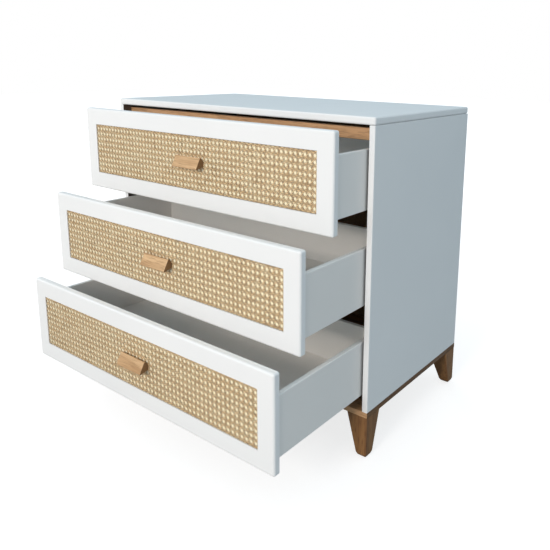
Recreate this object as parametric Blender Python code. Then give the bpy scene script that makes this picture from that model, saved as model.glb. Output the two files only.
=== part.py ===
"""Three-drawer chest with cane fronts: lacquered boards, oak base and legs, telescopic undermount runners."""

from math import acos, atan2, cos, pi, sin, tan

import bmesh
import bpy
from mathutils import Vector

# Overall size of the carcass
WIDTH = 0.900
DEPTH = 0.475
HEIGHT = 0.818

# Clearances
SEAT = 0.0003
REVEAL = 0.003
RUN = 0.0006
BOX_CLEAR = 0.005

# Carcass boards and rails
TOP_T = 0.018
TOP_R = 0.0045
SIDE_T = 0.015
BACK_T = 0.006
BACK_LAP = 0.007
ARRIS = 0.002
RAIL_T = 0.018
RAIL_H = 0.027
RAIL_SET = 0.028
RAIL_GAP = 0.0095

# Base frame and legs
BASE_T = 0.014
BASE_W = 0.060
LEDGE = 0.012
PANEL_T = 0.006
LEG_H = 0.106
LEG_TOP = 0.057
LEG_FOOT = 0.0275
FOOT_RISE = 0.009
FOOT_INSET = 0.006

# Drawer fronts, cane and pulls
FRONT_T = 0.016
FRONT_R = 0.005
BORDER = 0.0438
POCKET = 0.0035
CANE_T = 0.0020
PULL_L = 0.088
PULL_H = 0.0275
PULL_TOP = 0.0095
PULL_OUT = 0.0235
PULL_BACK = 0.0145
PULL_GRIP = 0.022
PULL_R = 0.002
PULL_RISE = 0.0035

# Drawer boxes
BOX_T = 0.012
BOX_DROP = 0.050
BOX_RISE = 0.036
BOX_BACK = 0.376
FLOOR_T = 0.006
FLOOR_RISE = 0.013
GROOVE = 0.005
FRONT_GROOVE = 0.006

# Runners, a rail with a T head, a middle member round it and a drawer member round that
SHEET = 0.0012
STEM = 0.005
LIP = 0.0024
FLANGE_H = 0.024
WEB_DROP = 0.0015
CABINET_L = 0.360
MIDDLE_L = 0.340
DRAWER_L = 0.356
RUNNER_SET = 0.020
TRAVEL = 0.350

# How far each drawer stands open
OPEN_TOP = 0.123
OPEN_MIDDLE = 0.228
OPEN_LOW = 0.307

# Places that follow from the sizes above
OPEN_BY = (OPEN_TOP, OPEN_MIDDLE, OPEN_LOW)
PULL_PROUD = PULL_OUT + SEAT - (POCKET - SEAT - CANE_T)
FRONT_Y = (max(OPEN_BY) + PULL_PROUD - DEPTH) / 2
BACK_Y = FRONT_Y + DEPTH
HALF = WIDTH / 2
INNER = HALF - SIDE_T
BASE_Z0 = LEG_H + SEAT
BASE_Z1 = BASE_Z0 + BASE_T
SIDE_Z0 = BASE_Z1 + SEAT
TOP_Z0 = HEIGHT - TOP_T
SIDE_Z1 = TOP_Z0 - SEAT
FRONT_W = 2 * (INNER - REVEAL)
FRONT_H = (TOP_Z0 - BASE_Z1 - 4 * REVEAL) / 3
BOX_X1 = INNER - BOX_CLEAR
BOX_X0 = BOX_X1 - BOX_T
BOX_Z0 = BOX_RISE
BOX_Z1 = FRONT_H - BOX_DROP
FLOOR_Z0 = BOX_Z0 + FLOOR_RISE + SEAT
FLOOR_Z1 = FLOOR_Z0 + FLOOR_T
BOX_END = BOX_BACK + BOX_T
CANE_Y = POCKET - SEAT - CANE_T
ARC_STEPS = 3


def fillet(points, steps=ARC_STEPS):
    """Closed outline from corners (a, b, radius), each corner rounded by its radius."""
    out = []
    count = len(points)
    for i, (a, b, r) in enumerate(points):
        here = Vector((a, b))
        back = Vector(points[i - 1][:2]) - here
        ahead = Vector(points[(i + 1) % count][:2]) - here
        if r <= 0:
            out.append((a, b))
            continue
        back.normalize()
        ahead.normalize()
        half = acos(max(-1.0, min(1.0, back.dot(ahead)))) / 2
        middle = here + (back + ahead).normalized() * (r / sin(half))
        first = here + back * (r / tan(half)) - middle
        last = here + ahead * (r / tan(half)) - middle
        start = atan2(first.y, first.x)
        turn = atan2(last.y, last.x) - start
        turn = (turn + pi) % (2 * pi) - pi
        for k in range(steps + 1):
            angle = start + turn * k / steps
            out.append((middle.x + r * cos(angle), middle.y + r * sin(angle)))
    return out


def place(axis, along, a, b):
    """Point at a distance along one axis, with the other two coordinates in order."""
    if axis == "X":
        return (along, a, b)
    if axis == "Y":
        return (a, along, b)
    return (a, b, along)


def loft(rings):
    """Closed body through rings of points that have the same count."""
    bm = bmesh.new()
    rows = [[bm.verts.new(p) for p in ring] for ring in rings]
    count = len(rows[0])
    for low, high in zip(rows, rows[1:]):
        for i in range(count):
            j = (i + 1) % count
            bm.faces.new((low[i], low[j], high[j], high[i]))
    bm.faces.new(rows[0])
    bm.faces.new(rows[-1])
    bmesh.ops.recalc_face_normals(bm, faces=bm.faces)
    return bm


def prism(axis, outline, low, high):
    """Outline drawn out along an axis from low to high."""
    return loft([[place(axis, s, a, b) for a, b in outline] for s in (low, high)])


def block(low, high):
    """Plain board between two corners."""
    (x0, y0, z0), (x1, y1, z1) = low, high
    return prism("Z", [(x0, y0), (x1, y0), (x1, y1), (x0, y1)], z0, z1)


def soften(bm, chosen, radius, steps=ARC_STEPS):
    """Rounds the edges whose two ends pass a test."""
    edges = [e for e in bm.edges if chosen(e.verts[0].co, e.verts[1].co)]
    bmesh.ops.bevel(bm, geom=edges, offset=radius, segments=steps, profile=0.5, affect="EDGES")
    bmesh.ops.recalc_face_normals(bm, faces=bm.faces)
    return bm


def sink(bm, toward, corners, depth):
    """Pocket with the given mouth corners, cut into the largest flat face that looks one way."""
    toward = Vector(toward)
    face = max((f for f in bm.faces if f.normal.dot(toward) > 0.999), key=lambda f: f.calc_area())
    outer = list(face.verts)
    bm.faces.remove(face)
    nearest = [min(corners, key=lambda c: (Vector(c) - v.co).length) for v in outer]
    mouth = {c: bm.verts.new(c) for c in corners}
    sunk = {c: bm.verts.new(Vector(c) - toward * depth) for c in corners}
    floor = []
    for i, c in enumerate(nearest):
        j = (i + 1) % len(outer)
        d = nearest[j]
        if c == d:
            bm.faces.new((outer[i], outer[j], mouth[c]))
            continue
        bm.faces.new((outer[i], outer[j], mouth[d], mouth[c]))
        bm.faces.new((mouth[c], mouth[d], sunk[d], sunk[c]))
        floor.append(sunk[c])
    bm.faces.new(floor)
    bmesh.ops.recalc_face_normals(bm, faces=bm.faces)
    return bm


def mirror_x(outline):
    """Same outline on the other side of the centre plane."""
    return [(-a, b) for a, b in reversed(outline)]


def finish(name, bm, material, origin=(0.0, 0.0, 0.0)):
    """Named object of one body, placed at its own origin."""
    mesh = bpy.data.meshes.new(name)
    bm.to_mesh(mesh)
    bm.free()
    mesh.materials.append(material)
    obj = bpy.data.objects.new(name, mesh)
    obj.location = origin
    bpy.context.scene.collection.objects.link(obj)
    return obj


def paint(name, colour, roughness, metallic=0.0):
    """Principled material of one colour."""
    material = bpy.data.materials.new(name)
    material.use_nodes = True
    shader = material.node_tree.nodes["Principled BSDF"]
    shader.inputs["Base Color"].default_value = (*colour, 1.0)
    shader.inputs["Roughness"].default_value = roughness
    shader.inputs["Metallic"].default_value = metallic
    return material


def top_panel():
    """Top board with rounded edges."""
    bm = block((-HALF, FRONT_Y, TOP_Z0), (HALF, BACK_Y, HEIGHT))
    return soften(bm, lambda a, b: True, TOP_R, 2 * ARC_STEPS)


def side_panel(side):
    """Side board with a rebate for the back and softened front and ends."""
    face, inside = HALF, INNER
    rebate_x = INNER + BACK_LAP
    rebate_y = BACK_Y - BACK_T - SEAT
    plan = fillet([
        (inside, FRONT_Y, ARRIS), (face, FRONT_Y, ARRIS), (face, BACK_Y, ARRIS / 2),
        (rebate_x, BACK_Y, 0), (rebate_x, rebate_y, 0), (inside, rebate_y, 0),
    ])
    plan = plan if side > 0 else mirror_x(plan)
    bm = prism("Z", plan, SIDE_Z0, SIDE_Z1)

    def outside_end(a, b):
        level = abs(a.z - b.z) < 1e-6
        return level and abs(abs(a.x) - HALF) < 1e-6 and abs(abs(b.x) - HALF) < 1e-6
    return soften(bm, outside_end, ARRIS / 2)


def back_panel():
    """Thin back in the rebates of the sides, standing on the base frame."""
    half = INNER + BACK_LAP - SEAT
    return block((-half, BACK_Y - BACK_T, SIDE_Z0), (half, BACK_Y, SIDE_Z1))


def top_rail(front):
    """Rail between the sides, softened below; the front one leaves a shadow gap under the top."""
    y0 = FRONT_Y + RAIL_SET if front else BACK_Y - BACK_T - SEAT - RAIL_T
    z1 = SIDE_Z1 - RAIL_GAP if front else SIDE_Z1
    y1, z0 = y0 + RAIL_T, z1 - RAIL_H
    section = fillet([(y0, z0, ARRIS), (y1, z0, ARRIS), (y1, z1, 0), (y0, z1, 0)])
    half = INNER - SEAT
    return prism("X", section, -half, half)


def base_rail(side):
    """Mitred base rail with an inner ledge for the bottom panel, seen from one of the four sides."""
    ledge_z = BASE_Z1 - PANEL_T - SEAT
    section = fillet([
        (0, BASE_Z0, ARRIS / 2), (BASE_W, BASE_Z0, 0), (BASE_W, ledge_z, 0),
        (BASE_W - LEDGE, ledge_z, 0), (BASE_W - LEDGE, BASE_Z1, 0), (0, BASE_Z1, ARRIS / 2),
    ])
    length = HALF if side in ("front", "back") else DEPTH / 2
    middle_y = (FRONT_Y + BACK_Y) / 2
    rings = []
    for end in (-1, 1):
        ring = []
        for u, z in section:
            s = end * (length - u - SEAT / 2)
            if side == "front":
                ring.append((s, FRONT_Y + u, z))
            elif side == "back":
                ring.append((s, BACK_Y - u, z))
            elif side == "left":
                ring.append((-HALF + u, middle_y + s, z))
            else:
                ring.append((HALF - u, middle_y + s, z))
        rings.append(ring)
    return loft(rings)


def bottom_panel():
    """Thin bottom board lying in the ledges of the base frame."""
    inset = BASE_W - LEDGE + SEAT
    low = (-HALF + inset, FRONT_Y + inset, BASE_Z1 - PANEL_T)
    return block(low, (HALF - inset, BACK_Y - inset, BASE_Z1))


def leg(x_side, front):
    """Leg with plumb outer faces, tapered inner faces and a chamfered foot."""
    def ring(z, inset):
        size = LEG_FOOT + (LEG_TOP - LEG_FOOT) * z / LEG_H
        low, high = inset, size - inset
        plan = fillet([(low, low, ARRIS), (high, low, ARRIS), (high, high, ARRIS), (low, high, ARRIS)])
        points = []
        for a, b in plan:
            y = FRONT_Y + b if front else BACK_Y - b
            points.append((x_side * (HALF - a), y, z))
        return points
    return loft([ring(0, FOOT_INSET), ring(FOOT_RISE / 3, FOOT_INSET / 3), ring(FOOT_RISE, 0), ring(LEG_H, 0)])


def drawer_front():
    """Front with rounded arrises, a pocket for the cane and a groove for the drawer floor."""
    half = FRONT_W / 2
    bm = block((-half, 0, 0), (half, FRONT_T, FRONT_H))
    soften(bm, lambda a, b: min(a.y, b.y) < FRONT_T / 2, FRONT_R, 2 * ARC_STEPS)
    x, z0, z1 = half - BORDER, BORDER, FRONT_H - BORDER
    sink(bm, (0, -1, 0), [(-x, 0, z0), (x, 0, z0), (x, 0, z1), (-x, 0, z1)], POCKET)
    x, z0, z1 = BOX_X0 + GROOVE, FLOOR_Z0 - SEAT, FLOOR_Z1 + SEAT
    y = FRONT_T
    return sink(bm, (0, 1, 0), [(-x, y, z0), (x, y, z0), (x, y, z1), (-x, y, z1)], FRONT_GROOVE)


def cane_sheet():
    """Sheet of cane webbing lying in the pocket of the front."""
    x, z0, z1 = FRONT_W / 2 - BORDER - SEAT, BORDER + SEAT, FRONT_H - BORDER - SEAT
    return block((-x, CANE_Y, z0), (x, CANE_Y + CANE_T, z1))


def pull():
    """Bar pull: a flat face leaning out to a lip, a rounded back above and a slanted grip below."""
    y, z = CANE_Y - SEAT, FRONT_H / 2 + PULL_RISE
    top, low = z + PULL_H / 2, z - PULL_H / 2
    steps = 2 * ARC_STEPS
    back = []
    for k in range(steps):
        angle = pi / 2 * k / steps
        back.append((y - PULL_TOP * (1 - cos(angle)), top - PULL_BACK * (1 - sin(angle)), 0))
    section = fillet(back + [
        (y - PULL_TOP, top, PULL_R / 2), (y - PULL_OUT, low + PULL_R, PULL_R / 2),
        (y - PULL_OUT + PULL_R / 2, low, PULL_R / 2), (y, top - PULL_GRIP, 0),
    ])
    half = PULL_L / 2
    bm = prism("X", section, -half, half)

    def end_edge(a, b):
        proud = max(a.y, b.y) < y - 1e-6
        return proud and abs(a.x - b.x) < 1e-6
    return soften(bm, end_edge, PULL_R / 4, 2)


def box_side(side):
    """Drawer side with a groove for the floor and rounded top arrises."""
    z0, z1 = FLOOR_Z0 - SEAT, FLOOR_Z1 + SEAT
    section = fillet([
        (BOX_X0, BOX_Z0, 0), (BOX_X1, BOX_Z0, 0), (BOX_X1, BOX_Z1, ARRIS), (BOX_X0, BOX_Z1, ARRIS),
        (BOX_X0, z1, 0), (BOX_X0 + GROOVE, z1, 0), (BOX_X0 + GROOVE, z0, 0), (BOX_X0, z0, 0),
    ])
    section = section if side > 0 else mirror_x(section)
    return prism("Y", section, FRONT_T + SEAT, BOX_END)


def box_back():
    """Drawer back between the sides, standing on the floor, rounded along its top."""
    z0 = FLOOR_Z1 + SEAT
    section = fillet([(BOX_BACK, z0, 0), (BOX_END, z0, 0), (BOX_END, BOX_Z1, ARRIS), (BOX_BACK, BOX_Z1, ARRIS)])
    half = BOX_X0 - SEAT
    return prism("X", section, -half, half)


def box_floor():
    """Drawer floor held in the grooves of the sides and of the front."""
    half = BOX_X0 + GROOVE - SEAT
    return block((-half, FRONT_T - FRONT_GROOVE + SEAT, FLOOR_Z0), (half, BOX_END, FLOOR_Z1))


# Runner section, measured inward from the cabinet side and up from the drawer front's lower edge
DRAWER_TOP = FLOOR_Z0 - SEAT
MIDDLE_TOP = DRAWER_TOP - SHEET - RUN
HEAD_TOP = MIDDLE_TOP - SHEET - RUN
HOOK_TOP = HEAD_TOP - SHEET - RUN
MIDDLE_LEG = STEM + RUN + LIP
DRAWER_LEG = MIDDLE_LEG + SHEET + RUN + LIP
RUNNER_C = BOX_CLEAR + BOX_T + RUN + DRAWER_LEG + SHEET


def cabinet_section():
    """Fixed member: flange on the cabinet side, web under the drawer side and a rail with a T head."""
    web = BOX_Z0 - WEB_DROP
    head = MIDDLE_LEG - RUN
    c = RUNNER_C
    return [
        (SEAT, web - FLANGE_H), (SEAT, web), (c - STEM, web), (c - STEM, HEAD_TOP - SHEET),
        (c - head, HEAD_TOP - SHEET), (c - head, HEAD_TOP), (c + head, HEAD_TOP), (c + head, HEAD_TOP - SHEET),
        (c + STEM, HEAD_TOP - SHEET), (c + STEM, web - SHEET), (SEAT + SHEET, web - SHEET),
        (SEAT + SHEET, web - FLANGE_H),
    ]


def middle_section():
    """Middle member: hooks round the T head below, wings for the drawer member above."""
    c, leg_in = RUNNER_C, MIDDLE_LEG
    leg_out, wing, hook = leg_in + SHEET, DRAWER_LEG - RUN, STEM + RUN
    under = MIDDLE_TOP - SHEET
    low = HOOK_TOP - SHEET
    half = [
        (wing, MIDDLE_TOP), (wing, under), (leg_out, under), (leg_out, low), (hook, low), (hook, HOOK_TOP),
        (leg_in, HOOK_TOP), (leg_in, under),
    ]
    return [(c - a, b) for a, b in half] + [(c + a, b) for a, b in reversed(half)]


def drawer_section():
    """Drawer member: channel under the drawer floor with hooks round the wings of the middle member."""
    c, leg_in = RUNNER_C, DRAWER_LEG
    leg_out, hook = leg_in + SHEET, MIDDLE_LEG + SHEET + RUN
    half = [
        (leg_out, DRAWER_TOP), (leg_out, HEAD_TOP - SHEET), (hook, HEAD_TOP - SHEET), (hook, HEAD_TOP),
        (leg_in, HEAD_TOP), (leg_in, DRAWER_TOP - SHEET),
    ]
    return [(c - a, b) for a, b in half] + [(c + a, b) for a, b in reversed(half)]


def runner(section, side, start, length):
    """Runner member of one section, on one side of the cabinet."""
    outline = [(INNER - u, z) for u, z in section]
    outline = outline if side > 0 else mirror_x(outline)
    return prism("Y", outline, start, start + length)


def build_carcass(white, oak, backing):
    """Fixed boards, rails, base frame and legs."""
    finish("top_panel", top_panel(), white)
    finish("left_side_panel", side_panel(-1), white)
    finish("right_side_panel", side_panel(1), white)
    finish("back_panel", back_panel(), backing)
    finish("bottom_panel", bottom_panel(), backing)
    finish("top_front_rail", top_rail(True), oak)
    finish("top_back_rail", top_rail(False), oak)
    for side in ("front", "back", "left", "right"):
        finish(f"base_{side}_rail", base_rail(side), oak)
    for x_name, x_side in (("left", -1), ("right", 1)):
        for y_name, front in (("front", True), ("back", False)):
            finish(f"{y_name}_{x_name}_leg", leg(x_side, front), oak)


def build_drawer(number, white, oak, cane, box, board, steel):
    """One drawer with its runners, standing open by its own distance."""
    opened = OPEN_BY[number - 1]
    z = BASE_Z1 + REVEAL + (3 - number) * (FRONT_H + REVEAL)
    shut = (0.0, FRONT_Y, z)
    half_way = (0.0, FRONT_Y - opened / 2, z)
    here = (0.0, FRONT_Y - opened, z)
    name = f"drawer{number}"
    finish(f"{name}_front", drawer_front(), white, here)
    finish(f"{name}_cane", cane_sheet(), cane, here)
    finish(f"{name}_pull", pull(), oak, here)
    finish(f"{name}_back", box_back(), box, here)
    finish(f"{name}_bottom", box_floor(), board, here)
    middle_start = RUNNER_SET + (CABINET_L - MIDDLE_L) / 2
    for word, side in (("left", -1), ("right", 1)):
        finish(f"{name}_{word}_side", box_side(side), box, here)
        fixed = runner(cabinet_section(), side, RUNNER_SET, CABINET_L)
        finish(f"{name}_{word}_cabinet_rail", fixed, steel, shut)
        middle = runner(middle_section(), side, middle_start, MIDDLE_L)
        finish(f"{name}_{word}_middle_rail", middle, steel, half_way)
        moving = runner(drawer_section(), side, RUNNER_SET, DRAWER_L)
        finish(f"{name}_{word}_drawer_rail", moving, steel, here)


def main():
    """Clears the scene and builds every piece."""
    for old in list(bpy.data.objects):
        bpy.data.objects.remove(old, do_unlink=True)
    white = paint("white_lacquer", (0.86, 0.87, 0.87), 0.35)
    oak = paint("oak", (0.42, 0.26, 0.13), 0.5)
    cane = paint("cane", (0.72, 0.53, 0.30), 0.6)
    box = paint("white_melamine", (0.80, 0.80, 0.79), 0.45)
    board = paint("white_hardboard", (0.76, 0.76, 0.74), 0.55)
    backing = paint("brown_hardboard", (0.24, 0.14, 0.07), 0.6)
    steel = paint("galvanised_steel", (0.55, 0.56, 0.58), 0.35, 1.0)
    build_carcass(white, oak, backing)
    for number in (1, 2, 3):
        build_drawer(number, white, oak, cane, box, board, steel)


main()
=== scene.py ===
"""Three-drawer chest with cane fronts: finishes, woven cane, small fittings, studio and camera."""

import logging
import math
from collections.abc import Callable, Iterator
from contextlib import contextmanager
from dataclasses import dataclass, field
from enum import Enum
from functools import cache

import bmesh
import bpy
from mathutils import Euler, Matrix, Vector


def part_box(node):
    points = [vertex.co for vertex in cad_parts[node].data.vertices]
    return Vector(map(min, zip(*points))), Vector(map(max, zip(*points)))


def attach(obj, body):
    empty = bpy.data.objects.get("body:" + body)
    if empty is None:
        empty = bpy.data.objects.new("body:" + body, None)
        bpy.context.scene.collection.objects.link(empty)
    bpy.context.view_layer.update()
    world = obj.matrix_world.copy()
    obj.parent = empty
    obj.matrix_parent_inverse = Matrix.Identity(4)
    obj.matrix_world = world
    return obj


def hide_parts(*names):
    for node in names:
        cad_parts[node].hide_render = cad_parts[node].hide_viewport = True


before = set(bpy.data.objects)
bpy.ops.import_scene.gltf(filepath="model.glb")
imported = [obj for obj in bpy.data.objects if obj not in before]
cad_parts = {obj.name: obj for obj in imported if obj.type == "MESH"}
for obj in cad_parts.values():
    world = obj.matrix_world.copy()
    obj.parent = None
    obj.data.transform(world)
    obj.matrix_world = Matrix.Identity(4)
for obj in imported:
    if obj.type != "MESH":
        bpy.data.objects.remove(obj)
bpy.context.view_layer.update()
log = logging.getLogger("chest")

Colour = tuple[float, float, float]
Place = tuple[float, float, float]
Span = tuple[float, float]
Material = bpy.types.Material
Piece = bpy.types.Object
Socket = bpy.types.NodeSocket
Surface = tuple[Socket, Socket, Socket]
Tree = bpy.types.NodeTree

UNIT: Span = (0.0, 1.0)
NOISE_CORE: Span = (0.3, 0.7)  # Where most values of a noise lie.
SIDES = {"left": -1, "right": 1}
DRAWERS = (1, 2, 3)
SEAT = 0.0003  # Gap between pieces that touch.
SINK = 0.0001  # How far a seat lies below the face that it is set on.
SQUARE_ON = 0.9  # Least part of a normal along an axis for a face to look that way.


class Axis(Enum):
    """Directions of the chest's frame, such as the way that a grain runs."""

    ACROSS = (1.0, 0.0, 0.0)
    DEEP = (0.0, 1.0, 0.0)
    UP = (0.0, 0.0, 1.0)

    @property
    def way(self) -> Vector:
        """The direction as a vector."""
        return Vector(self.value)


def corners(node: str) -> tuple[Vector, Vector]:
    """Lowest and highest corner of a CAD node at rest."""
    low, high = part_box(node)
    return Vector(low), Vector(high)


class Bench:
    """Modelling by operators, on one new object at a time."""

    @staticmethod
    def clear() -> None:
        """Goes back to object mode with nothing selected."""
        if bpy.context.mode != "OBJECT":
            bpy.ops.object.mode_set(mode="OBJECT")
        bpy.ops.object.select_all(action="DESELECT")

    @staticmethod
    def start(name: str, primitive: Callable[..., set[str]], **settings: object) -> Piece:
        """Adds a primitive as a new named object.

        Args:
            name: Name of the object and its mesh.
            primitive: Operator that adds the primitive.
            **settings: Settings of that operator.

        Returns:
            The new object, active and selected.
        """
        Bench.clear()
        primitive(**settings)
        obj = bpy.context.object
        obj.name = obj.data.name = name
        return obj

    @staticmethod
    def activate(obj: Piece) -> None:
        """Makes one object the only selected one.

        Args:
            obj: The object.
        """
        Bench.clear()
        obj.select_set(True)
        bpy.context.view_layer.objects.active = obj

    @staticmethod
    @contextmanager
    def editing(obj: Piece) -> Iterator[None]:
        """Opens an object in edit mode with everything selected, and closes it again.

        Args:
            obj: Object to shape.

        Returns:
            A context in which edit mode operators act on the object.
        """
        Bench.activate(obj)
        bpy.ops.object.mode_set(mode="EDIT")
        bpy.ops.mesh.select_mode(type="VERT")
        bpy.ops.mesh.select_all(action="SELECT")
        yield
        bpy.ops.object.mode_set(mode="OBJECT")

    @staticmethod
    def pick(obj: Piece, test: Callable[[bmesh.types.BMFace], bool]) -> None:
        """Selects the faces of an object in edit mode that pass a test.

        Args:
            obj: Object that is open in edit mode.
            test: Says for a face whether it is selected.
        """
        bpy.ops.mesh.select_mode(type="FACE")
        mesh = bmesh.from_edit_mesh(obj.data)
        for face in mesh.faces:
            face.select_set(test(face))
        mesh.select_flush_mode()
        bmesh.update_edit_mesh(obj.data)

    @staticmethod
    def extrude(way: Place) -> None:
        """Draws what is selected in edit mode out along a way."""
        bpy.ops.mesh.extrude_region_move(TRANSFORM_OT_translate={"value": way})

    @staticmethod
    def settle(obj: Piece) -> None:
        """Puts an object's place, turn and scale into its mesh."""
        Bench.activate(obj)
        bpy.ops.object.transform_apply(location=True, rotation=True, scale=True)

    @staticmethod
    def smooth(obj: Piece, degrees: float) -> None:
        """Shades an object smooth up to an angle."""
        Bench.activate(obj)
        bpy.ops.object.shade_smooth_by_angle(angle=math.radians(degrees))

    @staticmethod
    def copy(obj: Piece, name: str, move: Matrix) -> Piece:
        """Args:
            obj: Object to copy.
            name: Name of the copy.
            move: Where the copy's mesh goes.

        Returns:
            The copy, at the origin.
        """
        twin = bpy.data.objects.new(name, obj.data.copy())
        twin.data.name = name
        twin.data.transform(move)
        bpy.context.scene.collection.objects.link(twin)
        return twin

    @staticmethod
    def join(name: str, parts: list[Piece]) -> Piece:
        """Joins objects into one.

        Args:
            name: Name of the joined object.
            parts: Objects to join.

        Returns:
            The joined object.
        """
        Bench.activate(parts[0])
        for part in parts[1:]:
            part.select_set(True)
        bpy.ops.object.join()
        joined = bpy.context.object
        joined.name = joined.data.name = name
        return joined

    @staticmethod
    def repeat(obj: Piece, step: Place, count: int) -> None:
        """Repeats a mesh along a step with an array that is applied.

        Args:
            obj: Object to repeat.
            step: Way from one copy to the next.
            count: How many there are in all.
        """
        Bench.activate(obj)
        array = obj.modifiers.new("repeat", "ARRAY")
        array.use_relative_offset = False
        array.use_constant_offset = True
        array.constant_offset_displace = step
        array.count = count
        bpy.ops.object.modifier_apply(modifier=array.name)


class NodeSheet:
    """Adds and links the nodes of one shader tree."""

    def __init__(self, tree: Tree) -> None:
        """Keeps the tree."""
        self.tree = tree

    def add(
        self, kind: str, inputs: dict[str | int, object] | None = None, **settings: object
    ) -> bpy.types.Node:
        """Adds a node, sets its options and fills its inputs.

        Args:
            kind: Node type.
            inputs: Values or output sockets for the inputs, by name or number.
            **settings: Options of the node.

        Returns:
            The new node.
        """
        node = self.tree.nodes.new(kind)
        for key, value in settings.items():
            setattr(node, key, value)
        for key, value in (inputs or {}).items():
            if isinstance(value, Socket):
                self.tree.links.new(value, node.inputs[key])
            else:
                node.inputs[key].default_value = value
        return node

    def link(self, source: Socket, target: Socket) -> None:
        """Links an output to an input."""
        self.tree.links.new(source, target)

    def coords(self, kind: str = "Object") -> Socket:
        """Texture coordinates of one kind."""
        return self.add("ShaderNodeTexCoord").outputs[kind]

    def math(self, operation: str, a: object, b: object = 0.0) -> Socket:
        """Result of a Math node."""
        return self.add("ShaderNodeMath", {0: a, 1: b}, operation=operation).outputs[0]

    def weigh(self, a: Socket, b: Socket, share: float) -> Socket:
        """Mean of two values, in which the first has a share."""
        rest = self.math("MULTIPLY", b, 1.0 - share)
        return self.math("ADD", self.math("MULTIPLY", a, share), rest)

    def scaled(self, vector: Socket, factors: Place) -> Socket:
        """Vector with each coordinate times its own factor."""
        return self.add("ShaderNodeVectorMath", {0: vector, 1: factors}, operation="MULTIPLY").outputs[0]

    def drawn(self, place: Socket, along: float, through: float = 1.0) -> Socket:
        """Coordinates in which a pattern is drawn out along X, and through Z too if asked."""
        return self.scaled(place, (along, 1.0, through))

    def dot(self, vector: Socket, way: Vector) -> Socket:
        """Length of a vector along a direction."""
        node = self.add("ShaderNodeVectorMath", {0: vector, 1: way}, operation="DOT_PRODUCT")
        return node.outputs["Value"]

    def facing(self, way: Vector) -> Socket:
        """How squarely a face looks in a direction, 1 if fully."""
        return self.dot(self.coords("Normal"), way)

    def remap(self, value: object, span: Span, to: Span = UNIT, clamp: bool = True) -> Socket:
        """Value moved from one span to another, and held inside it if asked."""
        values = {0: value, 1: span[0], 2: span[1], 3: to[0], 4: to[1]}
        return self.add("ShaderNodeMapRange", values, clamp=clamp).outputs[0]

    def noise(
        self, place: Socket, scale: object, detail: float = 2.0, distortion: float = 0.0,
        roughness: float = 0.5,
    ) -> Socket:
        """Value of a noise texture with so many cells per metre."""
        shape = {"Detail": detail, "Distortion": distortion, "Roughness": roughness}
        return self.add("ShaderNodeTexNoise", {"Vector": place, "Scale": scale, **shape}).outputs[0]

    def blend(self, factor: object, a: object, b: object) -> Socket:
        """Two colours mixed by the share of the second."""
        a, b = (v if isinstance(v, Socket) else (*v, 1.0) for v in (a, b))
        return self.add("ShaderNodeMix", {0: factor, 6: a, 7: b}, data_type="RGBA").outputs[2]

    def ramp(self, factor: Socket, stops: list[tuple[float, Colour]]) -> Socket:
        """Colour ramp.

        Args:
            factor: Value that picks the colour.
            stops: Places and colours, lowest first.

        Returns:
            The picked colour.
        """
        node = self.add("ShaderNodeValToRGB", {0: factor})
        elements = node.color_ramp.elements
        while len(elements) < len(stops):
            elements.new(0.5)
        for element, (position, colour) in zip(elements, stops):
            element.position = position
            element.color = (*colour, 1.0)
        return node.outputs[0]

    def along(self, way: Vector) -> Socket:
        """Object coordinates turned so that X runs along a unit direction.

        Args:
            way: The direction.

        Returns:
            The turned coordinates.
        """
        place = self.coords()
        spare = Axis.DEEP.way if abs(way.y) < SQUARE_ON else Axis.ACROSS.way
        second = way.cross(spare).normalized()
        turned = [self.dot(place, axis) for axis in (way, second, way.cross(second))]
        return self.add("ShaderNodeCombineXYZ", dict(enumerate(turned))).outputs[0]

    def bump(self, height: Socket, strength: float, distance: float) -> Socket:
        """Normal of a bump, whose full step is a distance in metres."""
        values = {"Height": height, "Strength": strength, "Distance": distance}
        return self.add("ShaderNodeBump", values).outputs[0]

    def effect(self, tree: Tree, inputs: dict[str, object]) -> list[Socket]:
        """Results of a shared node group that gets its own values."""
        return list(self.add("ShaderNodeGroup", inputs, node_tree=tree).outputs)


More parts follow.
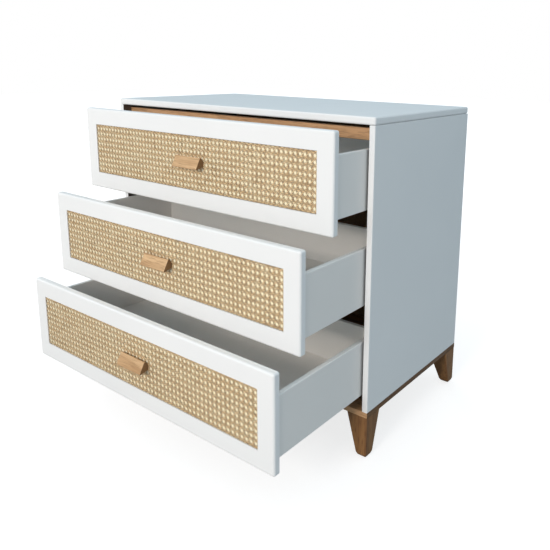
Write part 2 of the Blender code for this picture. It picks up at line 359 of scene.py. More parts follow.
class SharedEffects:
    """Shader node groups that more than one finish uses, each built once."""

    @staticmethod
    def group(name: str, inputs: dict[str, float | None]) -> tuple[NodeSheet, list[Socket]]:
        """Opens a group with named inputs.

        Args:
            name: Name of the group.
            inputs: Default values of its inputs, None for coordinates.

        Returns:
            The sheet of the group and the sockets that give its inputs.
        """
        tree = bpy.data.node_groups.new(name, "ShaderNodeTree")
        for label, value in inputs.items():
            kind = "NodeSocketVector" if value is None else "NodeSocketFloat"
            socket = tree.interface.new_socket(name=label, in_out="INPUT", socket_type=kind)
            if value is not None:
                socket.default_value = value
        sheet = NodeSheet(tree)
        source = sheet.add("NodeGroupInput")
        return sheet, [source.outputs[label] for label in inputs]

    @staticmethod
    def close(sheet: NodeSheet, values: dict[str, Socket]) -> Tree:
        """Gives a group its named results.

        Args:
            sheet: The sheet of the group.
            values: The results by name.

        Returns:
            The finished group.
        """
        for label in values:
            sheet.tree.interface.new_socket(name=label, in_out="OUTPUT", socket_type="NodeSocketFloat")
        result = sheet.add("NodeGroupOutput")
        for label, value in values.items():
            sheet.link(value, result.inputs[label])
        return sheet.tree

    @staticmethod
    @cache
    def timber_grain() -> Tree:
        """Growth lines, fibres and pores of timber that runs along X.

        Returns:
            The group.
        """
        inputs = {"Vector": None, "Lines": 70.0, "Fibres": 420.0}
        sheet, (place, lines, fibres) = SharedEffects.group("timber grain", inputs)
        drift, sway = (3.0, 14.0, 14.0), (0.0, 0.016, 0.011)
        bend = sheet.scaled(sheet.noise(sheet.scaled(place, drift), scale=1.0), sway)
        straight = sheet.drawn(place, along=0.05)
        bent = sheet.add("ShaderNodeVectorMath", {0: straight, 1: bend}, operation="ADD").outputs[0]
        rings = sheet.noise(bent, lines, detail=3.0, roughness=0.55)
        threads = sheet.noise(sheet.drawn(place, along=0.03), fibres)
        pore_scale = sheet.math("MULTIPLY", fibres, 2.0)
        pores = sheet.noise(sheet.drawn(place, along=0.045), pore_scale, detail=0.0)
        values = {
            "Figure": sheet.remap(rings, NOISE_CORE),
            "Fibre": sheet.remap(threads, NOISE_CORE),
            "Pores": sheet.remap(pores, span=(0.6, 0.72)),
        }
        return SharedEffects.close(sheet, values)

    @staticmethod
    @cache
    def sprayed_skin() -> Tree:
        """Slow tone and fine peel of a coated face.

        Returns:
            The group.
        """
        sheet, (place, size) = SharedEffects.group("sprayed skin", {"Vector": None, "Peel size": 600.0})
        tone = sheet.noise(place, scale=3.5, detail=3.0, distortion=0.4)
        peel = sheet.noise(place, size, detail=1.0)
        return SharedEffects.close(sheet, {"Tone": sheet.remap(tone, NOISE_CORE), "Peel": peel})

    @staticmethod
    @cache
    def handling() -> Tree:
        """Faint smudges of a surface that hands touch.

        Returns:
            The group.
        """
        sheet, (place, spread) = SharedEffects.group("handling", {"Vector": None, "Spread": 9.0})
        broad = sheet.noise(place, spread, detail=4.0, distortion=0.7)
        return SharedEffects.close(sheet, {"Smudge": sheet.remap(broad, span=(0.48, 0.72))})

    @staticmethod
    @cache
    def cane_fibre() -> Tree:
        """Tone, streaks and flecks of cane strands that run along X.

        Returns:
            The group.
        """
        sheet, (place, strands) = SharedEffects.group("cane fibre", {"Vector": None, "Strands": 170.0})
        tone = sheet.noise(sheet.drawn(place, along=0.10, through=0.0), strands)
        streak = sheet.noise(sheet.drawn(place, along=0.05, through=0.4), scale=1900.0, detail=1.0)
        fleck = sheet.noise(sheet.drawn(place, along=0.40, through=0.0), scale=330.0)
        values = {
            "Tone": sheet.remap(tone, NOISE_CORE),
            "Streak": sheet.remap(streak, NOISE_CORE),
            "Fleck": sheet.remap(fleck, span=(0.56, 0.66)),
        }
        return SharedEffects.close(sheet, values)


@dataclass(frozen=True)
class Finish:
    """Material with a Principled shader, whose surface each kind describes.

    Attributes:
        name: Name of the material.
        peel_size: Grains of a coated face per metre.
        spread: Smudges per metre.
        rough: Roughness of a clean and of a worn place.
        relief: Strength of the bump, and the height of a full step in metres.
        metal: Share of metal.
    """

    name: str
    peel_size: float = 600.0
    spread: float = 9.0
    rough: Span = (0.40, 0.55)
    relief: Span = (0.15, 0.0003)
    metal: float = 0.0

    def skin(self, sheet: NodeSheet, place: Socket) -> list[Socket]:
        """Tone and peel of a coated face."""
        return sheet.effect(SharedEffects.sprayed_skin(), {"Vector": place, "Peel size": self.peel_size})

    def smudge(self, sheet: NodeSheet, place: Socket) -> Socket:
        """Marks that hands leave."""
        return sheet.effect(SharedEffects.handling(), {"Vector": place, "Spread": self.spread})[0]

    def surface(self, sheet: NodeSheet) -> Surface:
        """Colour, wear and height of the surface."""
        raise NotImplementedError

    def material(self) -> Material:
        """Builds the material.

        Returns:
            The material.
        """
        material = bpy.data.materials.new(self.name)
        material.use_nodes = True
        sheet = NodeSheet(material.node_tree)
        shader = material.node_tree.nodes["Principled BSDF"]
        shader.inputs["Metallic"].default_value = self.metal
        colour, wear, height = self.surface(sheet)
        sheet.link(colour, shader.inputs["Base Color"])
        sheet.link(sheet.remap(wear, UNIT, self.rough, clamp=False), shader.inputs["Roughness"])
        sheet.link(sheet.bump(height, *self.relief), shader.inputs["Normal"])
        return material


@dataclass(frozen=True)
class Lacquer(Finish):
    """Sprayed coat with a fine peel, smudged a little by hands."""

    peel_size: float = 520.0
    rough: Span = (0.33, 0.45)
    relief: Span = (0.05, 0.0004)
    colour: Colour = (0.86, 0.86, 0.855)
    shade: Colour = (0.835, 0.837, 0.835)

    def surface(self, sheet: NodeSheet) -> Surface:
        """Colour, wear and height of the coat.

        Args:
            sheet: Sheet for the nodes.

        Returns:
            The three sockets.
        """
        place = sheet.coords()
        tone, peel = self.skin(sheet, place)
        return sheet.blend(tone, self.shade, self.colour), self.smudge(sheet, place), peel


@dataclass(frozen=True)
class InnerShadeLacquer(Lacquer):
    """Sprayed board whose inner face is painted dark brown with a faint grain: painted shade for the inside
    of the carcass.
    """

    inward: float = 1.0
    # The two colours below are the dark brown of the painted shade and of its faint grain.
    painted_tone: Colour = (0.050, 0.036, 0.028)
    streak: Colour = (0.085, 0.060, 0.044)
    turn: Span = (0.90, 0.98)

    def surface(self, sheet: NodeSheet) -> Surface:
        """Colour, wear and height, with painted shade on the inner face.

        Args:
            sheet: Sheet for the nodes.

        Returns:
            The three sockets.
        """
        coat, wear, height = super().surface(sheet)
        # Painted shade: the inward-facing face is dark brown with a faint grain.
        figure, *_ = sheet.effect(SharedEffects.timber_grain(), {"Vector": sheet.along(Axis.UP.way)})
        paper = sheet.blend(figure, self.painted_tone, self.streak)
        inner = sheet.remap(sheet.facing(self.inward * Axis.ACROSS.way), self.turn)
        return sheet.blend(inner, coat, paper), wear, height


@dataclass(frozen=True)
class Melamine(Lacquer):
    """Pressed white face of a drawer board, with a band of its own tone on its upper edge."""

    peel_size: float = 1400.0
    spread: float = 14.0
    rough: Span = (0.46, 0.58)
    relief: Span = (0.10, 0.0003)
    colour: Colour = (0.84, 0.815, 0.785)
    shade: Colour = (0.81, 0.785, 0.755)
    band: Colour = (0.85, 0.835, 0.81)
    turn: Span = (0.85, 0.97)

    def surface(self, sheet: NodeSheet) -> Surface:
        """Colour, wear and height, with the band on the upper edge.

        Args:
            sheet: Sheet for the nodes.

        Returns:
            The three sockets.
        """
        face, wear, height = super().surface(sheet)
        edge = sheet.remap(sheet.facing(Axis.UP.way), self.turn)
        return sheet.blend(edge, face, self.band), wear, height


@dataclass(frozen=True)
class MouldedPlastic(Lacquer):
    """Moulded grey plastic with a fine spark texture."""

    peel_size: float = 2200.0
    spread: float = 60.0
    rough: Span = (0.42, 0.56)
    relief: Span = (0.12, 0.0002)
    colour: Colour = (0.30, 0.31, 0.32)
    shade: Colour = (0.24, 0.25, 0.26)


@dataclass(frozen=True)
class CoatedBoard(Finish):
    """Thin pressed board with a white coat through which its fibres show."""

    peel_size: float = 900.0
    rough: Span = (0.50, 0.70)
    relief: Span = (0.15, 0.0003)
    colour: Colour = (0.93, 0.915, 0.88)
    fibre: Colour = (0.86, 0.84, 0.79)
    fade: float = 0.96
    chip_size: float = 260.0
    chip_share: float = 0.7

    def surface(self, sheet: NodeSheet) -> Surface:
        """Colour, wear and height of the coat.

        Args:
            sheet: Sheet for the nodes.

        Returns:
            The three sockets.
        """
        place = sheet.coords()
        tone, peel = self.skin(sheet, place)
        mat = sheet.noise(place, self.chip_size, detail=4.0, distortion=1.2)
        chips = sheet.remap(mat, span=(0.45, 0.75), to=(0.0, self.chip_share))
        coat = sheet.blend(tone, self.colour, tuple(self.fade * c for c in self.colour))
        return sheet.blend(chips, coat, self.fibre), chips, peel


@dataclass(frozen=True)
class Hardboard(Finish):
    """Bare brown board of pressed fibres, rubbed smooth in places."""

    peel_size: float = 700.0
    spread: float = 6.0
    rough: Span = (0.68, 0.50)
    relief: Span = (0.18, 0.0004)
    colour: Colour = (0.27, 0.155, 0.078)
    fibre: Colour = (0.17, 0.095, 0.046)
    fluff: Colour = (0.36, 0.225, 0.125)
    fibre_size: float = 190.0
    fluff_size: float = 520.0
    fluff_share: float = 0.6

    def surface(self, sheet: NodeSheet) -> Surface:
        """Colour, wear and height of the fibres.

        Args:
            sheet: Sheet for the nodes.

        Returns:
            The three sockets.
        """
        place = sheet.coords()
        _, peel = self.skin(sheet, place)
        mat = sheet.noise(place, self.fibre_size, detail=5.0, distortion=1.6)
        bare = sheet.blend(sheet.remap(mat, span=(0.38, 0.66)), self.fibre, self.colour)
        loose = sheet.noise(place, self.fluff_size, distortion=0.6)
        fluff = sheet.remap(loose, span=(0.60, 0.75), to=(0.0, self.fluff_share))
        height = sheet.math("ADD", peel, mat)
        return sheet.blend(fluff, bare, self.fluff), self.smudge(sheet, place), height


@dataclass(frozen=True)
class Oak(Finish):
    """Oiled oak whose grain runs along one axis, darker on its end faces as end grain and painted shade."""

    spread: float = 22.0
    rough: Span = (0.42, 0.62)
    relief: Span = (0.22, 0.0003)
    axis: Axis = Axis.ACROSS
    # The default colours are the darker copy of the oak: painted shade, for the legs and base rails that
    # stand in shade under the drawers.
    light: Colour = (0.335, 0.163, 0.057)
    dark: Colour = (0.16, 0.067, 0.021)
    pore: Colour = (0.10, 0.042, 0.016)
    # The end faces are darker than the side grain: partly end grain, partly painted shade.
    end: Colour = (0.15, 0.072, 0.026)
    end_ring: Colour = (0.24, 0.125, 0.048)
    end_size: float = 380.0
    end_turn: Span = (0.7, 0.9)
    end_share: float = 0.95
    lines: float = 48.0
    figure_share: float = 0.68
    stops: Place = (0.12, 0.52, 0.88)
    pore_share: float = 0.6
    smudge_share: float = 0.3
    fibre_height: float = 0.35

    def surface(self, sheet: NodeSheet) -> Surface:
        """Colour, wear and height of the grain.

        Args:
            sheet: Sheet for the nodes.

        Returns:
            The three sockets.
        """
        way = self.axis.way
        place = sheet.along(way)
        inputs = {"Vector": place, "Lines": self.lines}
        figure, fibre, pores = sheet.effect(SharedEffects.timber_grain(), inputs)
        middle = tuple((a + b) / 2 for a, b in zip(self.light, self.dark))
        tones = list(zip(self.stops, (self.dark, middle, self.light)))
        wood = sheet.ramp(sheet.weigh(figure, fibre, self.figure_share), tones)
        wood = sheet.blend(sheet.math("MULTIPLY", pores, self.pore_share), wood, self.pore)
        # End faces get the darker colours: partly the colour of end grain, partly painted shade.
        rings = sheet.noise(sheet.coords(), self.end_size, detail=3.0)
        end_grain_and_shade = sheet.math("ABSOLUTE", sheet.facing(way))
        end_grain_and_shade = sheet.remap(end_grain_and_shade, self.end_turn, to=(0.0, self.end_share))
        colour = sheet.blend(end_grain_and_shade, wood, sheet.blend(rings, self.end, self.end_ring))
        smudges = sheet.math("MULTIPLY", self.smudge(sheet, place), self.smudge_share)
        height = sheet.math("SUBTRACT", sheet.math("MULTIPLY", fibre, self.fibre_height), pores)
        return colour, sheet.math("ADD", pores, smudges), height


@dataclass(frozen=True)
class CaneFibre(Finish):
    """Peeled cane strand that runs in one direction."""

    spread: float = 12.0
    rough: Span = (0.40, 0.55)
    relief: Span = (0.20, 0.0002)
    way: Place = (0.0, 0.0, 1.0)
    # Share of the strand's colours left by its painted shade.
    shade: float = 1.0
    dark: Colour = (0.54, 0.35, 0.165)
    middle: Colour = (0.98, 0.685, 0.37)
    light: Colour = (1.0, 0.88, 0.59)
    # The colour below is the dark brown of the painted shade on the strand's rims and cut ends.
    rim: Colour = (0.07, 0.035, 0.014)
    fleck: Colour = (0.16, 0.09, 0.038)
    tone_share: float = 0.65
    stops: Place = (0.10, 0.50, 0.92)
    fleck_share: float = 0.80
    rim_shade_share: float = 0.95

    def surface(self, sheet: NodeSheet) -> Surface:
        """Colour, wear and height of the strand, with painted shade along its rims and at its cut ends.

        Args:
            sheet: Sheet for the nodes.

        Returns:
            The three sockets.
        """
        place = sheet.along(Vector(self.way))
        tone, streak, fleck = sheet.effect(SharedEffects.cane_fibre(), {"Vector": place})
        # The strand's colours are darkened by its painted shade.
        tones = [tuple(c * self.shade for c in tint) for tint in (self.dark, self.middle, self.light)]
        strand = sheet.ramp(sheet.weigh(tone, streak, self.tone_share), list(zip(self.stops, tones)))
        strand = sheet.blend(sheet.math("MULTIPLY", fleck, self.fleck_share), strand, self.fleck)
        # Painted shade: the strand darkens towards its rims and cut ends, where the mask from the weave is
        # 0.
        unshaded = sheet.add("ShaderNodeAttribute", attribute_name=CaneWebbing.UNSHADED).outputs["Fac"]
        rim = sheet.remap(unshaded, span=(0.12, 0.62), to=(self.rim_shade_share, 0.0))
        return sheet.blend(rim, strand, self.rim), self.smudge(sheet, place), streak


@dataclass(frozen=True)
class LinerPaper(Finish):
    """Cream backing paper with long pale fibres."""

    peel_size: float = 1500.0
    rough: Span = (0.72, 0.84)
    relief: Span = (0.15, 0.0002)
    colour: Colour = (1.0, 0.91, 0.68)
    fibre: Colour = (0.97, 0.86, 0.62)
    fibre_size: float = 900.0

    def surface(self, sheet: NodeSheet) -> Surface:
        """Colour, wear and height of the paper.

        Args:
            sheet: Sheet for the nodes.

        Returns:
            The three sockets.
        """
        place = sheet.coords()
        tone, peel = self.skin(sheet, place)
        long = sheet.noise(sheet.drawn(place, along=0.25), self.fibre_size, detail=3.0, distortion=0.8)
        return sheet.blend(sheet.remap(long, span=(0.4, 0.7)), self.colour, self.fibre), tone, peel


@dataclass(frozen=True)
class ZincSteel(Finish):
    """Zinc coated steel with a soft spangle and drawing lines along one axis."""

    rough: Span = (0.30, 0.48)
    relief: Span = (0.08, 0.0002)
    metal: float = 1.0
    axis: Axis = Axis.DEEP
    dull: Colour = (0.44, 0.45, 0.46)
    bright: Colour = (0.62, 0.63, 0.64)
    spangle_size: float = 130.0
    spangle_share: float = 0.6
    line_size: float = 1500.0

    def surface(self, sheet: NodeSheet) -> Surface:
        """Colour, wear and height of the coat.

        Args:
            sheet: Sheet for the nodes.

        Returns:
            The three sockets.
        """
        place = sheet.along(self.axis.way)
        cells = sheet.add("ShaderNodeTexVoronoi", {"Vector": place, "Scale": self.spangle_size})
        spangle = sheet.add("ShaderNodeSeparateColor", {0: cells.outputs["Color"]}).outputs[0]
        lines = sheet.noise(sheet.drawn(place, along=0.02), self.line_size)
        tone = sheet.weigh(spangle, lines, self.spangle_share)
        return sheet.blend(tone, self.dull, self.bright), tone, lines


class Palette:
    """All finishes of the chest but the cane's, each built once."""

    def __init__(self) -> None:
        """Builds the finishes."""
        self.lacquer = Lacquer("white lacquer").material()
        # Side panels with painted shade on their inner faces.
        self.inner_shaded = {
            side: InnerShadeLacquer(f"{side} side lacquer with painted inner shade", inward=-sign).material()
            for side, sign in SIDES.items()
        }
        self.melamine = Melamine("drawer melamine").material()
        # The drawer back is a paler copy of the drawer melamine: painted light inside the drawers.
        self.painted_tone = Melamine(
            "drawer back melamine painted light",
            colour=(0.93, 0.92, 0.89), shade=(0.90, 0.89, 0.86), band=(0.90, 0.89, 0.87),
        ).material()
        self.board = CoatedBoard("coated thin board").material()
        self.hardboard = Hardboard("brown hardboard").material()
        self.steel = ZincSteel("zinc runner steel").material()
        self.screw = ZincSteel(
            "zinc screw", axis=Axis.UP, dull=(0.50, 0.50, 0.49), bright=(0.72, 0.72, 0.70)
        ).material()
        self.plastic = MouldedPlastic("clip plastic").material()
        # The oaks are copies of one oak: the default one of the legs and base back rail is darker as
        # painted shade, the base side oak darker still as painted shade under the carcass, and the rail oak
        # paler as painted light.
        self.shaded_oak_across = Oak("shaded oak across").material()
        self.shaded_oak_up = Oak("shaded oak up", axis=Axis.UP).material()
        self.base_side_shaded_oak = Oak(
            "base side shaded oak", axis=Axis.DEEP,
            light=(0.22, 0.105, 0.036), dark=(0.10, 0.042, 0.014), pore=(0.05, 0.022, 0.008),
        ).material()
        self.rail = Oak(
            "lit rail oak", lines=70.0,
            light=(0.60, 0.355, 0.182), dark=(0.425, 0.226, 0.105), pore=(0.20, 0.10, 0.04),
        ).material()
        self.pull = Oak(
            "pull oak", lines=95.0,
            light=(0.70, 0.46, 0.245), dark=(0.42, 0.235, 0.105), pore=(0.22, 0.11, 0.045),
        ).material()

    @staticmethod
    def dress(material: Material, *names: str) -> None:
        """Gives CAD nodes a finish.

        Args:
            material: The finish.
            *names: Names of the nodes.
        """
        for name in names:
            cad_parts[name].material_slots[0].material = material
            log.info("%s dressed in %s", name, material.name)


@dataclass
class PanScrew:
    """Small pan head screw with a cross recess."""

    radius: float = 0.0038
    height: float = 0.0018
    arm: float = 0.0044
    slot: float = 0.0011
    deep: float = 0.0010
    edges: int = 20
    rounded: float = 0.55
    smooth: float = 35.0
    spin: float = 0.7

    def model(self, material: Material) -> Piece:
        """Models one head that stands on the ground plane.

        Args:
            material: Finish of the head.

        Returns:
            The head.
        """
        head = Bench.start(
            "screw_head", bpy.ops.mesh.primitive_cylinder_add, vertices=self.edges, radius=self.radius,
            depth=self.height, location=(0.0, 0.0, self.height / 2),
        )
        Bench.settle(head)
        with Bench.editing(head):
            Bench.pick(head, lambda f: f.normal.z > SQUARE_ON)
            bpy.ops.mesh.bevel(offset=self.height * self.rounded, segments=3, affect="EDGES")
        for turn in (0.0, math.pi / 2):
            bar = Bench.start("bar", bpy.ops.mesh.primitive_cube_add, size=1.0, rotation=(0.0, 0.0, turn))
            bar.scale = (self.arm, self.slot, 2 * self.deep)
            bar.location = (0.0, 0.0, self.height)
            Bench.settle(bar)
            Bench.activate(head)
            cut = head.modifiers.new("recess", "BOOLEAN")
            cut.operation, cut.object, cut.solver = "DIFFERENCE", bar, "EXACT"
            bpy.ops.object.modifier_apply(modifier=cut.name)
            bpy.data.objects.remove(bar)
        Bench.smooth(head, self.smooth)
        head.data.materials.append(material)
        return head

    def row(self, name: str, body: str, places: list[Vector], facing: Vector, material: Material) -> None:
        """Sets heads on a face and joins them into one piece.

        Args:
            name: Name of the piece.
            body: Body that it rides on.
            places: Middle of each head's seat.
            facing: Direction that the heads look in.
            material: Finish of the heads.
        """
        head = self.model(material)
        turn = Axis.UP.way.rotation_difference(facing).to_matrix().to_4x4()
        heads = []
        for i, place in enumerate(places):
            spin = Matrix.Rotation(self.spin * i, 4, "Z")
            heads.append(Bench.copy(head, f"{name}_{i}", Matrix.Translation(place) @ turn @ spin))
        bpy.data.objects.remove(head)
        piece = Bench.join(name, heads)
        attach(piece, body)
        log.info("%s: %d heads on %s", name, len(places), body)


@dataclass
class CaneWebbing:
    """Woven cane of the drawer fronts: upright and level pairs with two diagonals.

    Attributes:
        columns: Holes across the window.
        rows: Holes up the window.
        pair: Half of the distance between the two strands of an upright and of a level pair.
        rise: How far the pairs swing to the front and back, and diagonal_rise the diagonals.
        shades: Painted shade of each kind of strand, darkest on the uprights and then the falling
            diagonals.
        cut_end: Length of the painted shade at the cut end of a strand.
        spare: Repeats beyond the window, which are trimmed off.
        weld: Distance under which the points of two repeats become one.
    """

    # Mask that is 1 in the middle of a strand and 0 on its rims and cut ends, which get painted shade.
    UNSHADED = "unshaded"
    TRIANGLE_WIDE = math.sqrt(3.0)
    TRIANGLE_TALL = 1.5

    columns: int = 59
    rows: float = 9.5
    strand: float = 0.0028
    diagonal: float = 0.0029
    thick: float = 0.00045
    pair: Span = (0.00148, 0.00145)
    rise: float = 0.00034
    diagonal_rise: float = 0.00052
    # Painted shade by direction: uprights and falling diagonals are darker.
    shades: dict[str, float] = field(
        default_factory=lambda: {"upright": 0.64, "level": 1.0, "falling": 0.80, "rising": 1.0}
    )
    cut_end: float = 0.0026
    spare: int = 3
    weld: float = 0.00002
    smooth: float = 60.0
    liner_thick: float = 0.0003
    liner_rim: float = 0.004

    def ribbon(self, name: str, width: float, steps: list[Span]) -> Piece:
        """Draws a flat three-sided section up along steps and marks its middle, which stays free of the
        painted shade on its rims.

        Args:
            name: Name of the strand.
            width: Width of the strand.
            steps: Rise along Z and shift along Y of each stretch.

        Returns:
            The strand, starting at the origin.
        """
        add_circle = bpy.ops.mesh.primitive_circle_add
        strand = Bench.start(name, add_circle, vertices=3, radius=1.0, fill_type="NOTHING")
        with Bench.editing(strand):
            flat = (width / self.TRIANGLE_WIDE, -self.thick / self.TRIANGLE_TALL, 1.0)
            bpy.ops.transform.resize(value=flat, center_override=(0.0, 0.0, 0.0))
            for up, back in steps:
                Bench.extrude((0.0, back, up))
        unshaded = strand.data.attributes.new(self.UNSHADED, "FLOAT", "POINT")
        for vertex in strand.data.vertices:
            unshaded.data[vertex.index].value = 1.0 if abs(vertex.co.x) < width / 4 else 0.0
        return strand

    def cell(self, across: float, up: float) -> Piece:
        """Makes one repeat of the weave, with a finish for each direction.

        Args:
            across: Width of the repeat.
            up: Height of the repeat.

        Returns:
            The repeat, with its pair crossing at the origin.
        """
        (px, pz), h, d = self.pair, self.rise, self.diagonal_rise
        lean = math.atan2(across, up)
        quarter = math.hypot(across, up) / 4

        def straight(pitch: float, p: float, front: float) -> list[Span]:
            """Stretches of a strand that crosses a pair and starts in front or behind."""
            return [(2 * p, 2 * front), (pitch / 2 - p, -front), (pitch / 2 - p, -front)]

        def slanted(front: float) -> list[Span]:
            """Stretches of a diagonal that starts in front or behind."""
            return [(quarter, front), (quarter, front), (quarter, -front), (quarter, -front)]

        turns = {"upright": 0.0, "level": math.pi / 2, "falling": -lean, "rising": lean}
        finishes = {}
        for kind, turn in turns.items():
            way = (math.sin(turn), 0.0, math.cos(turn))
            finishes[kind] = CaneFibre(f"cane {kind}", way=way, shade=self.shades[kind]).material()
        plan = [
            ("upright", self.strand, straight(up, pz, h), (-px, -h, -pz)),
            ("upright", self.strand, straight(up, pz, -h), (px, h, -pz)),
            ("level", self.strand, straight(across, px, -h), (-px, h, -pz)),
            ("level", self.strand, straight(across, px, h), (-px, -h, pz)),
            ("falling", self.diagonal, slanted(d), (across / 2, -d, 0.0)),
            ("rising", self.diagonal, slanted(-d), (across / 2, d, 0.0)),
        ]
        strands = []
        for kind, width, steps, place in plan:
            strand = self.ribbon(kind, width, steps)
            strand.rotation_euler = (0.0, turns[kind], 0.0)
            strand.location = place
            Bench.settle(strand)
            strand.data.materials.append(finishes[kind])
            strands.append(strand)
        return Bench.join("cane_cell", strands)

    def line(self, name: str, low: Vector, high: Vector) -> Piece:
        """Makes the cream liner that shows through the holes, with a pressed rim.

        Args:
            name: Name of the piece.
            low: Lowest corner of the sheet that it lies behind.
            high: Highest corner of that sheet.

        Returns:
            The liner.
        """
        thick, rim = self.liner_thick, self.liner_rim
        liner = Bench.start(name, bpy.ops.mesh.primitive_cube_add, size=1.0)
        liner.scale = (high.x - low.x, thick, high.z - low.z)
        liner.location = ((low.x + high.x) / 2, high.y - thick / 6, (low.z + high.z) / 2)
        Bench.settle(liner)
        with Bench.editing(liner):
            Bench.pick(liner, lambda f: f.normal.y < -SQUARE_ON)
            bpy.ops.mesh.inset(thickness=rim, depth=-thick / 4)
            bpy.ops.mesh.inset(thickness=rim / 4, depth=thick / 6)
        liner.data.materials.append(LinerPaper("cane liner").material())
        return liner

    def weave(self, name: str, low: Vector, high: Vector) -> Piece:
        """Weaves a panel, trims it to its pocket and paints shade on its cut ends.

        Args:
            name: Name of the piece.
            low: Lowest corner of the sheet that it stands for.
            high: Highest corner of that sheet.

        Returns:
            The panel.
        """
        across, up = (high.x - low.x) / self.columns, (high.z - low.z) / self.rows
        whole = int(self.rows)
        panel = self.cell(across, up)
        Bench.repeat(panel, (across, 0.0, 0.0), self.columns + self.spare)
        Bench.repeat(panel, (0.0, 0.0, up), whole + self.spare)
        margin = (self.rows - whole) / 2
        middle = low.y + self.diagonal_rise + self.thick / self.TRIANGLE_TALL + SINK
        panel.location = (low.x - across, middle, low.z + (margin - 1) * up)
        Bench.settle(panel)
        with Bench.editing(panel):
            bpy.ops.mesh.remove_doubles(threshold=self.weld)
            bpy.ops.mesh.normals_make_consistent(inside=False)
            for corner, sign in ((low, -1), (high, 1)):
                for way in (sign * Axis.ACROSS.way, sign * Axis.UP.way):
                    bpy.ops.mesh.select_all(action="SELECT")
                    bpy.ops.mesh.bisect(plane_co=corner, plane_no=way, clear_outer=True)
                    bpy.ops.mesh.select_all(action="SELECT")
                    bpy.ops.mesh.bisect(plane_co=corner - self.cut_end * way, plane_no=way)
            bpy.ops.mesh.select_all(action="SELECT")
            bpy.ops.mesh.fill_holes(sides=8)
        # The cut ends get painted shade, as where the pocket wall shades them.
        unshaded = panel.data.attributes[self.UNSHADED]
        for vertex in panel.data.vertices:
            x, _, z = vertex.co
            if min(x - low.x, high.x - x, z - low.z, high.z - z) < self.cut_end / 2:
                unshaded.data[vertex.index].value = 0.0
        Bench.smooth(panel, self.smooth)
        panel.name = panel.data.name = name
        return panel

    def build(self) -> None:
        """Weaves and lines the panel of the top drawer and copies it to the other two."""
        first, sources = Vector(), ()
        for number in DRAWERS:
            node = f"drawer{number}_cane"
            names = f"{node}_webbing", f"{node}_liner"
            low, high = corners(node)
            if sources:
                move = Matrix.Translation(low - first)
                pieces = tuple(Bench.copy(source, name, move) for source, name in zip(sources, names))
            else:
                first = low
                pieces = sources = self.weave(names[0], low, high), self.line(names[1], low, high)
            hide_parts(node)
            for piece in pieces:
                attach(piece, f"drawer{number}")
                log.info("%s: %d faces", piece.name, len(piece.data.polygons))


@dataclass
class Carcass:
    """Boards, top rails, base frame and legs."""

    palette: Palette
    screw_step: float = 0.16
    screw_edge: float = 0.012

    def dress(self) -> None:
        """Gives every fixed board and rail its finish."""
        palette = self.palette
        palette.dress(palette.lacquer, "top_panel")
        # The side panels carry painted shade on their inner faces.
        for side, material in palette.inner_shaded.items():
            palette.dress(material, f"{side}_side_panel")
        palette.dress(palette.hardboard, "back_panel", "bottom_panel")
        # Rails and legs get lit and shaded copies of one oak: the paler copy on the top rails and base
        # front rail is painted light, and the darker ones on the other base rails and legs are painted
        # shade.
        palette.dress(palette.rail, "top_front_rail", "top_back_rail", "base_front_rail")
        palette.dress(palette.shaded_oak_across, "base_back_rail")
        palette.dress(palette.base_side_shaded_oak, "base_left_rail", "base_right_rail")
        palette.dress(palette.shaded_oak_up, *(f"{end}_{side}_leg" for end in ("front", "back") for side in SIDES))

    def spaced(self, low: float, high: float) -> list[float]:
        """Even steps between two ends, about as long as the screws' step."""
        count = round((high - low) / self.screw_step)
        return [low + (high - low) * i / count for i in range(count + 1)]

    def fasten_back(self) -> None:
        """Sets screws up both sides of the back and along its top."""
        screw = PanScrew(radius=0.0030, height=0.0017, arm=0.0034, slot=0.0009, deep=0.0008)
        low, high = corners("back_panel")
        x0, x1 = low.x + self.screw_edge / 2, high.x - self.screw_edge / 2
        z0, z1 = low.z + self.screw_edge, high.z - self.screw_edge
        face = high.y - screw.height - SINK
        places = [Vector((x, face, z)) for z in self.spaced(z0, z1) for x in (x0, x1)]
        places += [Vector((x, face, z1)) for x in self.spaced(x0, x1)[1:-1]]
        screw.row("back_panel_screws", "carcass", places, Axis.DEEP.way, self.palette.screw)

    def build(self) -> None:
        """Dresses the carcass and fastens its back."""
        self.dress()
        self.fasten_back()


@dataclass
class Catch:
    """Plastic catch under a drawer's floor, hollow below, with a lever on its inner side."""

    size: Place = (0.036, 0.046, 0.014)
    wall: float = 0.006
    hollow: float = 0.004
    lever_edge: float = 0.0035
    lever_out: float = 0.007
    lever_taper: Place = (1.0, 0.7, 0.8)
    lever_tip: float = 0.004
    edge: float = 0.0008
    smooth: float = 40.0

    def model(self, name: str, sign: int, middle: Vector, material: Material) -> Piece:
        """Models a catch.

        Args:
            name: Name of the piece.
            sign: Side of the chest that it is on, -1 on the left.
            middle: Middle of its block.
            material: Finish of the catch.

        Returns:
            The catch.
        """
        catch = Bench.start(name, bpy.ops.mesh.primitive_cube_add, size=1.0)
        catch.scale = self.size
        Bench.settle(catch)
        outer = SQUARE_ON * self.size[0] / 2
        with Bench.editing(catch):
            Bench.pick(catch, lambda f: f.normal.z < -SQUARE_ON)
            bpy.ops.mesh.inset(thickness=self.wall, depth=0.0)
            Bench.extrude((0.0, 0.0, self.hollow))
            Bench.pick(
                catch, lambda f: f.normal.x * sign < -SQUARE_ON and abs(f.calc_center_median().x) > outer
            )
            bpy.ops.mesh.inset(thickness=self.lever_edge, depth=0.0)
            Bench.extrude((-sign * self.lever_out, 0.0, 0.0))
            bpy.ops.transform.resize(value=self.lever_taper)
            Bench.extrude((-sign * self.lever_tip, -self.lever_tip, 0.0))
            bpy.ops.mesh.select_all(action="SELECT")
            bpy.ops.mesh.bevel(offset=self.edge, segments=2, affect="EDGES")
        catch.location = middle
        Bench.settle(catch)
        Bench.smooth(catch, self.smooth)
        catch.data.materials.append(material)
        return catch


